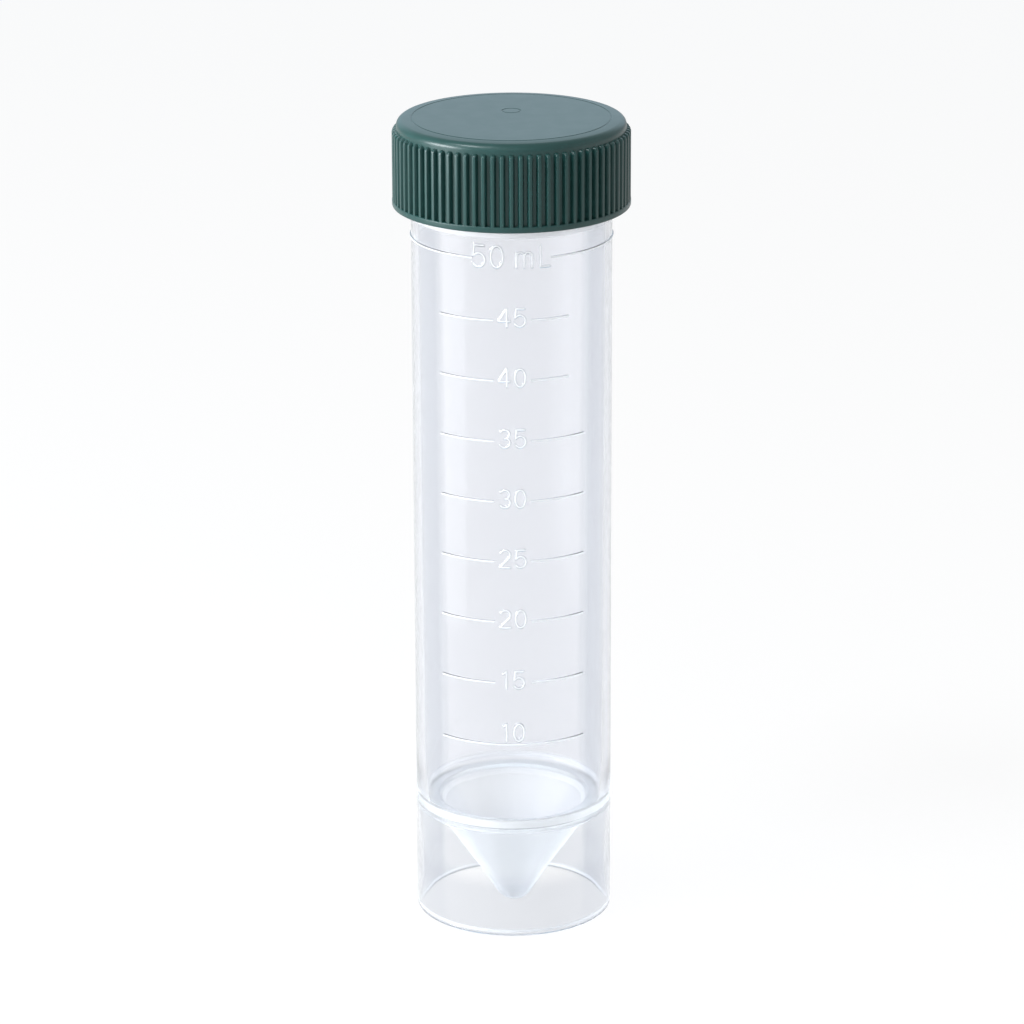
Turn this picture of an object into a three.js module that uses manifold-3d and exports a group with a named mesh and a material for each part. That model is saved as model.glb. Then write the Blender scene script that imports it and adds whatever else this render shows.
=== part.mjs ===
// Self-standing 50 ml conical tube with its screw cap.
// Millimetres, +Z up. The origin is on the tube's axis, at the plane of its foot,
// and the graduations face -Y.
import * as THREE from 'three';
import { ConvexGeometry } from 'three/addons/geometries/ConvexGeometry.js';
import { mergeVertices } from 'three/addons/utils/BufferGeometryUtils.js';
import Module from 'manifold-3d';

const wasm = await Module();
wasm.setup();

// ---------------------------------------------------------------- driving dimensions
// Tube wall
const TUBE_HEIGHT = 116.4;        // foot to rim
const TUBE_RADIUS = 14.35;        // outside of the wall and of the skirt
const RIM_WALL = 0.95;            // wall thickness at the rim
const SHELF_WALL = 1.35;          // wall thickness where the bore meets the shelf
const RIM_ROUNDING = 0.3;

// Conical bottom, carried by a narrow shelf inside the wall
const SHELF_HEIGHT = 17.4;        // top of the shelf above the foot
const SHELF_WIDTH = 1.9;          // from the bore's wall to the mouth of the cone
const SHELF_THICKNESS = 1.2;
const CONE_WALL = 1.1;
const TIP_RADIUS = 3.0;           // outside of the rounded tip
const TIP_LIFT = 0.28;            // tip above the foot
const BORE_FILLET = 0.8;
const MOUTH_ROUNDING = 0.5;
const CONE_FILLET = 0.8;          // under the shelf, against the cone
const SKIRT_FILLET = 0.5;         // under the shelf, against the skirt

// Skirt that the tube stands on
const SKIRT_WALL = 0.9;
const FOOT_ROUNDING_OUTSIDE = 0.25;
const FOOT_ROUNDING_INSIDE = 0.15;

// Two-start screw thread
const THREAD_STARTS = 2;
const THREAD_LEAD = 7.2;          // rise of one start in one turn
const THREAD_DEPTH = 0.75;        // ridge on the tube's neck
const THREAD_ROOT_WIDTH = 2.0;
const THREAD_CREST_WIDTH = 1.0;
const THREAD_FADE = 20;           // degrees over which a ridge runs out at each end
const THREAD_LIFT = 0.6;          // tube's ridge above the cap's lower edge
const CLEARANCE = 0.3;            // between pieces that pass or rest on each other

// Cap
const CAP_HEIGHT = 12.6;
const CAP_WALL = 0.93;            // outside the thread, to the foot of the ribs
const CAP_PLATE = 1.5;            // top plate
const CAP_SHOULDER = 1.4;         // rounding between the top and the side
const RIB_COUNT = 80;
const RIB_HEIGHT = 0.6;
const RIB_ROOT_SHARE = 0.62;      // share of the pitch that a rib fills at its foot
const RIB_CREST_SHARE = 0.3;      // and at its crest
const RIB_END_SLOPE = 0.5;        // height over which the upper end of a rib slopes away
const RIB_END_GAP = 0.15;         // below the shoulder
const FLANGE_HEIGHT = 0.9;        // plain band below the ribs
const FLANGE_RELIEF = 0.07;       // that it stands proud of the ribs
const FLANGE_CHAMFER = 0.25;
const LIP_CHAMFER = 0.4;          // lead-in at the mouth of the cap
const BEAD_HEIGHT = 0.6;          // bead that holds the liner in the cap
const GATE_RADIUS = 1.3;          // moulding mark in the top
const GATE_DEPTH = 0.12;
const GATE_OFFSET = 3.8;          // behind the axis

// Sealing liner
const LINER_THICKNESS = 1.0;

// Graduations, in millilitres, and their raised lines
const FIRST_MARK = 10;
const FIRST_MARK_HEIGHT = 30.5;   // of the 10 ml line, above the foot
const MARK_STEP = 5;
const FULL_MARK = 50;             // this line goes all round
const SHORT_MARKS_FROM = 40;      // lines from here up end sooner on the right
const MARK_WIDTH = 0.32;
const MARK_CREST_WIDTH = 0.16;
const MARK_RELIEF = 0.16;
const MARK_REACH = 44.5;          // degrees from the front to the end of a line
const SHORT_MARK_REACH = 33.5;
const NUMERAL_SPACE = 10.5;       // degrees kept clear each side for the numerals
const TITLE_SPACE = 22.5;         // degrees kept clear each side in the full mark

// Smoothness of the faceted model
const TUBE_FACETS = 48;
const GATE_FACETS = 24;
const ROUNDING_STEPS = 2;
const TIP_STEPS = 4;
const ROUNDING_ROOM = 0.45;       // largest share of a side that one rounding takes
const SHORTEST_STEP = 0.3;        // of a facet, at the end of a ridge
const EMBED = 0.25;               // depth by which a ridge is sunk into its wall
const FADED_EMBED = 0.125;        // depth to which the crest of a thread runs out
const MERGE_DISTANCE = 1e-5;

// ---------------------------------------------------------------- derived dimensions
const skirtBore = TUBE_RADIUS - SKIRT_WALL;
const rimBore = TUBE_RADIUS - RIM_WALL;
const shelfBore = TUBE_RADIUS - SHELF_WALL;
const mouthRadius = shelfBore - SHELF_WIDTH;

const linerBottom = TUBE_HEIGHT + CLEARANCE;
const capTop = linerBottom + LINER_THICKNESS + CLEARANCE + CAP_PLATE;
const capBottom = capTop - CAP_HEIGHT;

const tubeThreadCrest = TUBE_RADIUS + THREAD_DEPTH;
const capThreadCrest = TUBE_RADIUS + CLEARANCE;
const capBore = tubeThreadCrest + CLEARANCE;
const capShell = capBore + CAP_WALL;
const ribCrest = capShell + RIB_HEIGHT;
const flangeRadius = ribCrest + FLANGE_RELIEF;
const linerRadius = capBore - CLEARANCE;

const beadTop = linerBottom - CLEARANCE;
const beadBottom = beadTop - BEAD_HEIGHT;
const halfRoot = THREAD_ROOT_WIDTH / 2;
const tubeThreadTop = beadBottom - CLEARANCE - halfRoot;
const tubeThreadBottom = capBottom + THREAD_LIFT + halfRoot;
const capThreadTop = beadBottom - halfRoot;
const capThreadBottom = capBottom + LIP_CHAMFER + halfRoot;

const RADIANS = Math.PI / 180;
const CUBIC_MM_PER_ML = 1000;
const LEVEL_ROUNDS = 5;           // enough for a level to settle

// ---------------------------------------------------------------- solids from geometry

/** Turns a closed three.js geometry into a manifold solid. */
function solidFrom(geometry) {
  geometry.deleteAttribute('normal');
  geometry.deleteAttribute('uv');
  const merged = mergeVertices(geometry, MERGE_DISTANCE);
  const index = merged.index.array;
  const triangles = [];
  for (let i = 0; i < index.length; i += 3) {
    const [a, b, c] = [index[i], index[i + 1], index[i + 2]];
    if (a !== b && b !== c && c !== a) triangles.push(a, b, c);
  }
  const mesh = new wasm.Mesh({
    numProp: 3,
    vertProperties: new Float32Array(merged.attributes.position.array),
    triVerts: new Uint32Array(triangles),
  });
  return new wasm.Manifold(mesh);
}

/** Turns a manifold solid back into a three.js geometry. */
function geometryFrom(solid) {
  const mesh = solid.getMesh();
  const geometry = new THREE.BufferGeometry();
  geometry.setAttribute('position', new THREE.BufferAttribute(mesh.vertProperties, 3));
  geometry.setIndex(new THREE.BufferAttribute(mesh.triVerts, 1));
  geometry.computeVertexNormals();
  return geometry;
}

/** A solid of revolution about +Z from a profile of (radius, height) points. */
function revolve(profile, facets) {
  const geometry = new THREE.LatheGeometry(profile, facets);
  geometry.rotateX(Math.PI / 2);
  return solidFrom(geometry);
}

/** A plain ring or disc of revolution with a rectangular section. */
function ring(inner, outer, bottom, top, facets) {
  const profile = [[inner, bottom], [outer, bottom], [outer, top], [inner, top]];
  if (inner > 0) profile.push([inner, bottom]);
  return revolve(profile.map(([r, z]) => new THREE.Vector2(r, z)), facets);
}

/**
 * Rounds the corners of an open outline. Each corner is [radius, height, rounding]; an arc
 * takes no more than its share of either side next to it, so that its wall limits it.
 */
function roundedOutline(corners) {
  const at = (corner) => new THREE.Vector2(corner[0], corner[1]);
  return corners.flatMap((corner, i) => {
    const rounding = corner[2] ?? 0;
    if (rounding === 0) return [at(corner)];
    const back = at(corners[i - 1]).sub(at(corner));
    const ahead = at(corners[i + 1]).sub(at(corner));
    const room = ROUNDING_ROOM * Math.min(back.length(), ahead.length());
    back.normalize();
    ahead.normalize();
    const half = Math.acos(back.dot(ahead)) / 2;
    const cut = Math.min(rounding / Math.tan(half), room);
    const radius = cut * Math.tan(half);
    const inward = back.clone().add(ahead).normalize();
    const centre = at(corner).addScaledVector(inward, radius / Math.sin(half));
    const start = at(corner).addScaledVector(back, cut).sub(centre);
    const turn = Math.sign(ahead.cross(back)) * (Math.PI - 2 * half);
    return Array.from({ length: ROUNDING_STEPS + 1 }, (_, k) =>
      start.clone().rotateAround(new THREE.Vector2(), (turn * k) / ROUNDING_STEPS).add(centre));
  });
}

/** Points of the round tip of a cone, from its lowest point up to where the cone starts. */
function tipArc(centreHeight, radius, halfAngle) {
  const sweep = Math.PI / 2 - halfAngle;
  return Array.from({ length: TIP_STEPS + 1 }, (_, k) => {
    const angle = (sweep * k) / TIP_STEPS;
    return new THREE.Vector2(radius * Math.sin(angle), centreHeight - radius * Math.cos(angle));
  });
}

/** Both end angles and, between them, the angles at which the wall's facets meet. */
function facetAngles(fromAngle, toAngle) {
  const facet = 360 / TUBE_FACETS;
  const first = Math.ceil(fromAngle / facet + SHORTEST_STEP);
  const last = Math.floor(toAngle / facet - SHORTEST_STEP);
  const between = [];
  for (let k = first; k <= last; k += 1) between.push(k * facet);
  return [fromAngle, ...between, toAngle];
}

/**
 * A ridge that follows the wall of a cylinder, level or climbing as a screw thread does.
 * Its section is a trapezoid whose root is sunk by EMBED into the wall at wallRadius;
 * crestRadius is outside the wall for an outer ridge and inside it for an inner one.
 * Over the first and last `fade` degrees the ridge sinks into the wall.
 */
function ridge({ wallRadius, crestRadius, rootWidth, crestWidth, fromAngle, toAngle,
  fromHeight, rise = 0, fade = 0 }) {
  const outward = Math.sign(crestRadius - wallRadius);
  const rootRadius = wallRadius - outward * EMBED;
  const fadedRadius = wallRadius - outward * FADED_EMBED;
  const angles = facetAngles(fromAngle, toAngle);
  const sections = angles.map((degrees) => {
    const travelled = degrees - fromAngle;
    const left = toAngle - degrees;
    const fullness = fade === 0 ? 1 : Math.min(1, travelled / fade, left / fade);
    const crest = THREE.MathUtils.lerp(fadedRadius, crestRadius, fullness);
    const height = fromHeight + (rise * travelled) / (toAngle - fromAngle);
    const angle = degrees * RADIANS;
    return [
      [rootRadius, -rootWidth / 2],
      [rootRadius, rootWidth / 2],
      [crest, crestWidth / 2],
      [crest, -crestWidth / 2],
    ].map(([radius, z]) => [radius * Math.sin(angle), -radius * Math.cos(angle), height + z]);
  });
  const corners = sections[0].length;
  const index = [];
  const triangle = (a, b, c) => index.push(...(outward > 0 ? [a, b, c] : [a, c, b]));
  for (let i = 0; i < sections.length - 1; i += 1) {
    const here = corners * i;
    const there = here + corners;
    for (let side = 0; side < corners; side += 1) {
      const next = (side + 1) % corners;
      triangle(here + side, here + next, there + next);
      triangle(here + side, there + next, there + side);
    }
  }
  const end = corners * (sections.length - 1);
  for (let k = 1; k < corners - 1; k += 1) {
    triangle(0, k + 1, k);
    triangle(end, end + k, end + k + 1);
  }
  const geometry = new THREE.BufferGeometry();
  geometry.setAttribute('position', new THREE.Float32BufferAttribute(sections.flat(2), 3));
  geometry.setIndex(index);
  return solidFrom(geometry);
}

/** The ridges of all starts of the thread, between two heights of their centre line. */
function thread({ wallRadius, crestRadius, bottom, top, startAngle }) {
  const span = ((top - bottom) / THREAD_LEAD) * 360;
  return Array.from({ length: THREAD_STARTS }, (_, start) => {
    const fromAngle = startAngle + (start * 360) / THREAD_STARTS;
    return ridge({
      wallRadius,
      crestRadius,
      rootWidth: THREAD_ROOT_WIDTH,
      crestWidth: THREAD_CREST_WIDTH,
      fromAngle,
      toAngle: fromAngle + span,
      fromHeight: bottom,
      rise: top - bottom,
      fade: THREAD_FADE,
    });
  });
}

const join = (solids) => solids.reduce((whole, solid) => whole.add(solid));

// ---------------------------------------------------------------- tube

/** Half angle of the inner cone, from its mouth down to its round tip. */
function coneHalfAngle(tipCentre, innerTip) {
  const rise = SHELF_HEIGHT - tipCentre;
  return Math.atan2(mouthRadius, rise) - Math.asin(innerTip / Math.hypot(mouthRadius, rise));
}

/** The tube without thread or graduations: one closed outline turned about the axis. */
function tubeWall() {
  const tipCentre = TIP_LIFT + TIP_RADIUS;
  const innerTip = TIP_RADIUS - CONE_WALL;
  const halfAngle = coneHalfAngle(tipCentre, innerTip);
  const underside = SHELF_HEIGHT - SHELF_THICKNESS;
  const outerMouth = mouthRadius + CONE_WALL / Math.cos(halfAngle)
    - SHELF_THICKNESS * Math.tan(halfAngle);
  const inner = tipArc(tipCentre, innerTip, halfAngle);
  const outer = tipArc(tipCentre, TIP_RADIUS, halfAngle);
  const innerEnd = inner.pop();
  const outerEnd = outer.pop();
  const outline = roundedOutline([
    [innerEnd.x, innerEnd.y],
    [mouthRadius, SHELF_HEIGHT, MOUTH_ROUNDING],
    [shelfBore, SHELF_HEIGHT, BORE_FILLET],
    [rimBore, TUBE_HEIGHT, RIM_ROUNDING],
    [TUBE_RADIUS, TUBE_HEIGHT, RIM_ROUNDING],
    [TUBE_RADIUS, 0, FOOT_ROUNDING_OUTSIDE],
    [skirtBore, 0, FOOT_ROUNDING_INSIDE],
    [skirtBore, underside, SKIRT_FILLET],
    [outerMouth, underside, CONE_FILLET],
    [outerEnd.x, outerEnd.y],
  ]);
  return revolve([...inner, ...outline, ...outer.reverse()].reverse(), TUBE_FACETS);
}

/** Bore radius at a height above the shelf. The bore widens towards the rim. */
function boreAt(height) {
  const share = (height - SHELF_HEIGHT) / (TUBE_HEIGHT - SHELF_HEIGHT);
  return shelfBore + share * (rimBore - shelfBore);
}

/** The level that the tube fills to when a volume in millilitres is added at a level. */
function levelAbove(level, millilitres) {
  let height = 0;
  for (let round = 0; round < LEVEL_ROUNDS; round += 1) {
    const radius = boreAt(level + height / 2);
    height = (millilitres * CUBIC_MM_PER_ML) / (Math.PI * radius * radius);
  }
  return level + height;
}

/**
 * Raised lines of the graduations: one all round at the full mark, short ones below it.
 * The neck, which the cap covers, carries none.
 */
function graduations() {
  const line = (height, fromAngle, toAngle) => ridge({
    wallRadius: TUBE_RADIUS,
    crestRadius: TUBE_RADIUS + MARK_RELIEF,
    rootWidth: MARK_WIDTH,
    crestWidth: MARK_CREST_WIDTH,
    fromAngle,
    toAngle,
    fromHeight: height,
  });
  const lines = [];
  let mark = FIRST_MARK;
  let height = FIRST_MARK_HEIGHT;
  while (mark <= FULL_MARK && height < capBottom - MARK_WIDTH) {
    const rightReach = mark < SHORT_MARKS_FROM ? MARK_REACH : SHORT_MARK_REACH;
    if (mark === FIRST_MARK) {
      lines.push(line(height, -MARK_REACH, rightReach));
    } else if (mark === FULL_MARK) {
      lines.push(line(height, TITLE_SPACE, 360 - TITLE_SPACE));
    } else {
      lines.push(line(height, -MARK_REACH, -NUMERAL_SPACE));
      lines.push(line(height, NUMERAL_SPACE, rightReach));
    }
    mark += MARK_STEP;
    height = levelAbove(height, MARK_STEP);
  }
  return lines;
}

function tubeMesh() {
  const threads = thread({
    wallRadius: TUBE_RADIUS,
    crestRadius: tubeThreadCrest,
    bottom: tubeThreadBottom,
    top: tubeThreadTop,
    startAngle: 0,
  });
  const material = new THREE.MeshStandardMaterial({
    color: 0xe6eaf0, roughness: 0.25, metalness: 0, transparent: true, opacity: 0.4,
  });
  const mesh = new THREE.Mesh(
    geometryFrom(join([tubeWall(), ...threads, ...graduations()])), material);
  mesh.name = 'tube';
  return mesh;
}

// ---------------------------------------------------------------- cap
// The cap is built with its lower edge at height 0 and then set on the tube.

/** One grip rib: a bar with sloping flanks and a sloping upper end, sunk into the cap's side. */
function rib(angle) {
  const pitch = (2 * Math.PI * capShell) / RIB_COUNT;
  const top = CAP_HEIGHT - CAP_SHOULDER - RIB_END_GAP;
  const bottom = FLANGE_HEIGHT - EMBED;
  const rootHalf = (RIB_ROOT_SHARE * pitch) / 2;
  const crestHalf = (RIB_CREST_SHARE * pitch) / 2;
  const corners = [
    [capShell - EMBED, rootHalf, bottom],
    [capShell - EMBED, rootHalf, top],
    [capShell, rootHalf, bottom],
    [capShell, rootHalf, top],
    [ribCrest, crestHalf, bottom],
    [ribCrest, crestHalf, top - RIB_END_SLOPE],
  ];
  const points = corners.flatMap(([out, aside, height]) => [
    new THREE.Vector3(aside, -out, height),
    new THREE.Vector3(-aside, -out, height),
  ]);
  const geometry = new ConvexGeometry(points);
  geometry.rotateZ(angle);
  return solidFrom(geometry);
}

/** The cap's outside: flange, side with its ribs, and rounded shoulder. */
function capOutside() {
  const halfPitch = 360 / RIB_COUNT / 2;
  const body = revolve([
    new THREE.Vector2(0, 0),
    ...roundedOutline([
      [flangeRadius - FLANGE_CHAMFER, 0],
      [flangeRadius, FLANGE_CHAMFER],
      [flangeRadius, FLANGE_HEIGHT],
      [capShell, FLANGE_HEIGHT],
      [capShell, CAP_HEIGHT, CAP_SHOULDER],
      [0, CAP_HEIGHT],
    ]),
  ], RIB_COUNT).rotate([0, 0, halfPitch]);
  const ribs = Array.from({ length: RIB_COUNT }, (_, k) => rib((k * 2 * Math.PI) / RIB_COUNT));
  return body.add(join(ribs));
}

function capMesh() {
  const plateBottom = CAP_HEIGHT - CAP_PLATE;
  const hollow = revolve([
    [0, -EMBED],
    [capBore + LIP_CHAMFER + EMBED, -EMBED],
    [capBore, LIP_CHAMFER],
    [capBore, plateBottom],
    [0, plateBottom],
  ].map(([r, z]) => new THREE.Vector2(r, z)), TUBE_FACETS);
  const bead = ring(TUBE_RADIUS + CLEARANCE, capBore + EMBED, beadBottom - capBottom,
    beadTop - capBottom, TUBE_FACETS);
  // A point half a pitch above the tube's ridges, on the same screw.
  const pitch = THREAD_LEAD / THREAD_STARTS;
  const climb = capThreadBottom - tubeThreadBottom - pitch / 2;
  const threads = thread({
    wallRadius: capBore,
    crestRadius: capThreadCrest,
    bottom: capThreadBottom - capBottom,
    top: capThreadTop - capBottom,
    startAngle: (climb / THREAD_LEAD) * 360,
  });
  const gate = ring(0, GATE_RADIUS, CAP_HEIGHT - GATE_DEPTH, CAP_HEIGHT + EMBED,
    GATE_FACETS)
    .translate([0, GATE_OFFSET, 0]);
  const shell = capOutside().subtract(hollow).subtract(gate);
  const material = new THREE.MeshStandardMaterial({
    color: 0x33514f, roughness: 0.45, metalness: 0,
  });
  const mesh = new THREE.Mesh(geometryFrom(join([shell, bead, ...threads])), material);
  mesh.name = 'cap';
  mesh.position.z = capBottom;
  return mesh;
}

// ---------------------------------------------------------------- liner

function linerMesh() {
  const material = new THREE.MeshStandardMaterial({
    color: 0xf2f2ee, roughness: 0.7, metalness: 0,
  });
  const disc = ring(0, linerRadius, 0, LINER_THICKNESS, TUBE_FACETS);
  const mesh = new THREE.Mesh(geometryFrom(disc), material);
  mesh.name = 'seal_liner';
  mesh.position.z = linerBottom;
  return mesh;
}

// ---------------------------------------------------------------- assembly

const group = new THREE.Group();
group.name = 'conical_tube_50_ml';
group.add(tubeMesh(), linerMesh(), capMesh());

export default group;
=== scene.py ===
"""The looks of a self-standing 50 ml conical tube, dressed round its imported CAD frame."""

import logging
import math
from dataclasses import dataclass, field
from enum import Enum
from typing import Iterable, Sequence

import bpy
from mathutils import Matrix, Vector
from mathutils.geometry import intersect_point_line


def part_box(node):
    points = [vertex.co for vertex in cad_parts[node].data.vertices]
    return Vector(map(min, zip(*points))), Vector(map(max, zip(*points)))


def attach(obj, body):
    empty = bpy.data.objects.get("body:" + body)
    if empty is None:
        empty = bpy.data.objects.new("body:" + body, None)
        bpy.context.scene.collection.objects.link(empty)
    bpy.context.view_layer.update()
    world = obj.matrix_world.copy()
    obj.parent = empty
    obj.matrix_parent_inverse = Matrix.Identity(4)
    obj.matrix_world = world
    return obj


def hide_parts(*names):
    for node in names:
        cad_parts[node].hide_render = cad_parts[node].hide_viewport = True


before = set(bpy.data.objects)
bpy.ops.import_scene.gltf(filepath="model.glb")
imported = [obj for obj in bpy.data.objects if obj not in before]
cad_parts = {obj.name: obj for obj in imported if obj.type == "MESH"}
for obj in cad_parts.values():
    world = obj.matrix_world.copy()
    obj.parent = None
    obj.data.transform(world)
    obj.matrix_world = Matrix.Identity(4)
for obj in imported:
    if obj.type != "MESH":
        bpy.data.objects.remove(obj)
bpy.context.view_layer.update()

MM = 0.001
LOG = logging.getLogger("conical_tube")
ROUNDING_ROOM = 0.45    # the most of a side that the rounding of a corner takes
MERGE = 1e-7            # vertices nearer than this are one
ON_WALL = 0.01 * MM     # a place nearer to a wall than this is on it
DIGITS = 7              # decimals of a metre that the frame's places hold

Point = tuple[float, float]
Corner = tuple[float, float, float]
Triple = tuple[float, float, float]
Colour = tuple[float, float, float, float]
Socket = bpy.types.NodeSocket
Value = Socket | float | Colour


class Fusing(Enum):
    """What a boolean does with a tool."""

    JOIN = "UNION"
    CUT = "DIFFERENCE"


@dataclass(frozen=True)
class Span:
    """Where a CAD node starts and ends along the axis, in metres."""

    bottom: float
    top: float

    @classmethod
    def of(cls, node: str) -> "Span":
        """Reads a node's ends from the frame, whose numbers have about seven digits.

        Args:
            node: The node's name.

        Returns:
            The node's span.
        """
        low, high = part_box(node)
        return cls(round(low.z, DIGITS), round(high.z, DIGITS))

    @property
    def length(self) -> float:
        """How long the node is."""
        return self.top - self.bottom


# ------------------------------------------------------------------ modelling helpers


def deselect() -> None:
    """Leaves object mode with nothing selected."""
    if bpy.context.object and bpy.context.object.mode != "OBJECT":
        bpy.ops.object.mode_set(mode="OBJECT")
    bpy.ops.object.select_all(action="DESELECT")


def activate(piece: bpy.types.Object) -> None:
    """Makes one object the only selected and active one.

    Args:
        piece: The object to work on.
    """
    deselect()
    piece.select_set(True)
    bpy.context.view_layer.objects.active = piece


def apply_modifiers(piece: bpy.types.Object) -> None:
    """Applies every modifier of a piece, in order.

    Args:
        piece: The object whose modifiers become its mesh.
    """
    activate(piece)
    for modifier in list(piece.modifiers):
        bpy.ops.object.modifier_apply(modifier=modifier.name)


def rounded(corners: Sequence[Corner], steps: int) -> list[Point]:
    """Rounds the corners of an open outline with arcs.

    Args:
        corners: Radius, height and rounding of each corner, in metres.
        steps: How many chords each rounding has.

    Returns:
        The outline's points, as radius and height.
    """
    points: list[Point] = []
    for index, (radius, height, rounding) in enumerate(corners):
        corner = Vector((radius, height))
        if rounding == 0.0:
            points.append((radius, height))
            continue
        back = Vector(corners[index - 1][:2]) - corner
        ahead = Vector(corners[index + 1][:2]) - corner
        room = ROUNDING_ROOM * min(back.length, ahead.length)
        back.normalize()
        ahead.normalize()
        half = math.acos(max(-1.0, min(1.0, back.dot(ahead)))) / 2
        cut = min(rounding / math.tan(half), room)
        arc_radius = cut * math.tan(half)
        centre = corner + (back + ahead).normalized() * (arc_radius / math.sin(half))
        start = corner + back * cut - centre
        side = 1.0 if ahead.x * back.y - ahead.y * back.x > 0 else -1.0
        sweep = side * (math.pi - 2 * half)
        for step in range(steps + 1):
            turned = Matrix.Rotation(sweep * step / steps, 2) @ start
            points.append(tuple(centre + turned))
    return points


def divided(points: Sequence[Point], longest: float) -> list[Point]:
    """Adds points to an outline so that none of its sides is longer than a limit.

    Args:
        points: The outline.
        longest: The longest side allowed, in metres.

    Returns:
        The outline with its long sides divided evenly.
    """
    result = [points[0]]
    for start, end in zip(points, points[1:]):
        count = max(1, math.ceil(math.dist(start, end) / longest))
        for step in range(1, count + 1):
            share = step / count
            result.append((start[0] + share * (end[0] - start[0]),
                           start[1] + share * (end[1] - start[1])))
    return result


def clean_mesh(piece: bpy.types.Object, merge: float = MERGE) -> None:
    """Merges doubles and turns all faces outwards.

    Args:
        piece: The object to clean.
        merge: The distance within which vertices become one, in metres.
    """
    activate(piece)
    bpy.ops.object.mode_set(mode="EDIT")
    bpy.ops.mesh.select_all(action="SELECT")
    bpy.ops.mesh.remove_doubles(threshold=merge)
    bpy.ops.mesh.normals_make_consistent(inside=False)
    bpy.ops.object.mode_set(mode="OBJECT")


def outline_loop(name: str, points: Sequence[Point], closed: bool) -> bpy.types.Object:
    """Draws an outline of edges in the half plane through +X and +Z.

    Args:
        name: The object's name.
        points: Radius and height of each corner, in metres.
        closed: Whether the last point joins the first.

    Returns:
        The outline, in edit mode with everything selected.
    """
    deselect()
    bpy.ops.mesh.primitive_circle_add(vertices=len(points), radius=MM, fill_type="NOTHING")
    outline = bpy.context.object
    outline.name = outline.data.name = name
    for vertex, (radius, height) in zip(outline.data.vertices, points):
        vertex.co = (radius, 0.0, height)
    bpy.ops.object.mode_set(mode="EDIT")
    bpy.ops.mesh.select_mode(type="EDGE")
    bpy.ops.mesh.select_all(action="DESELECT")
    if not closed:
        bpy.ops.object.mode_set(mode="OBJECT")
        ends = {0, len(points) - 1}
        for edge in outline.data.edges:
            edge.select = set(edge.vertices) == ends
        bpy.ops.object.mode_set(mode="EDIT")
        bpy.ops.mesh.delete(type="EDGE")
    bpy.ops.mesh.select_all(action="SELECT")
    return outline


def turned(name: str, points: Sequence[Point], steps: int, closed: bool = False) -> bpy.types.Object:
    """Spins an outline about the Z axis into a closed solid.

    Args:
        name: The object's name.
        points: An outline that ends on the axis, or a closed one beside it.
        steps: How many facets the turn has.
        closed: Whether the outline is closed.

    Returns:
        The turned solid.
    """
    piece = outline_loop(name, points, closed)
    bpy.ops.object.mode_set(mode="OBJECT")
    turning = piece.modifiers.new("turning", "SCREW")
    turning.axis = "Z"
    turning.steps = turning.render_steps = steps
    turning.use_merge_vertices = True
    turning.merge_threshold = MERGE
    apply_modifiers(piece)
    clean_mesh(piece)
    return piece


def fuse(target: bpy.types.Object, tools: Iterable[bpy.types.Object],
         way: Fusing = Fusing.JOIN) -> None:
    """Joins solids to a target, or cuts them from it, and removes them.

    Args:
        target: The solid that is kept.
        tools: The solids that are added or taken away.
        way: Which of the two is done.
    """
    for tool in tools:
        modifier = target.modifiers.new(tool.name, "BOOLEAN")
        modifier.operation = way.value
        modifier.solver = "MANIFOLD"
        modifier.object = tool
        apply_modifiers(target)
        bpy.data.objects.remove(tool, do_unlink=True)


def joined(name: str, pieces: Sequence[bpy.types.Object]) -> bpy.types.Object:
    """Joins separate solids into one object.

    Args:
        name: The joined object's name.
        pieces: The solids, which don't overlap.

    Returns:
        The joined object.
    """
    activate(pieces[0])
    for piece in pieces[1:]:
        piece.select_set(True)
    if len(pieces) > 1:
        bpy.ops.object.join()
    bpy.context.object.name = bpy.context.object.data.name = name
    return bpy.context.object


def smooth(piece: bpy.types.Object, degrees: float = 32.0) -> None:
    """Shades a piece smooth, apart from its edges sharper than an angle.

    Args:
        piece: The object to shade.
        degrees: The sharpest angle that is still shaded smooth.
    """
    activate(piece)
    bpy.ops.object.shade_smooth_by_angle(angle=math.radians(degrees))


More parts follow.
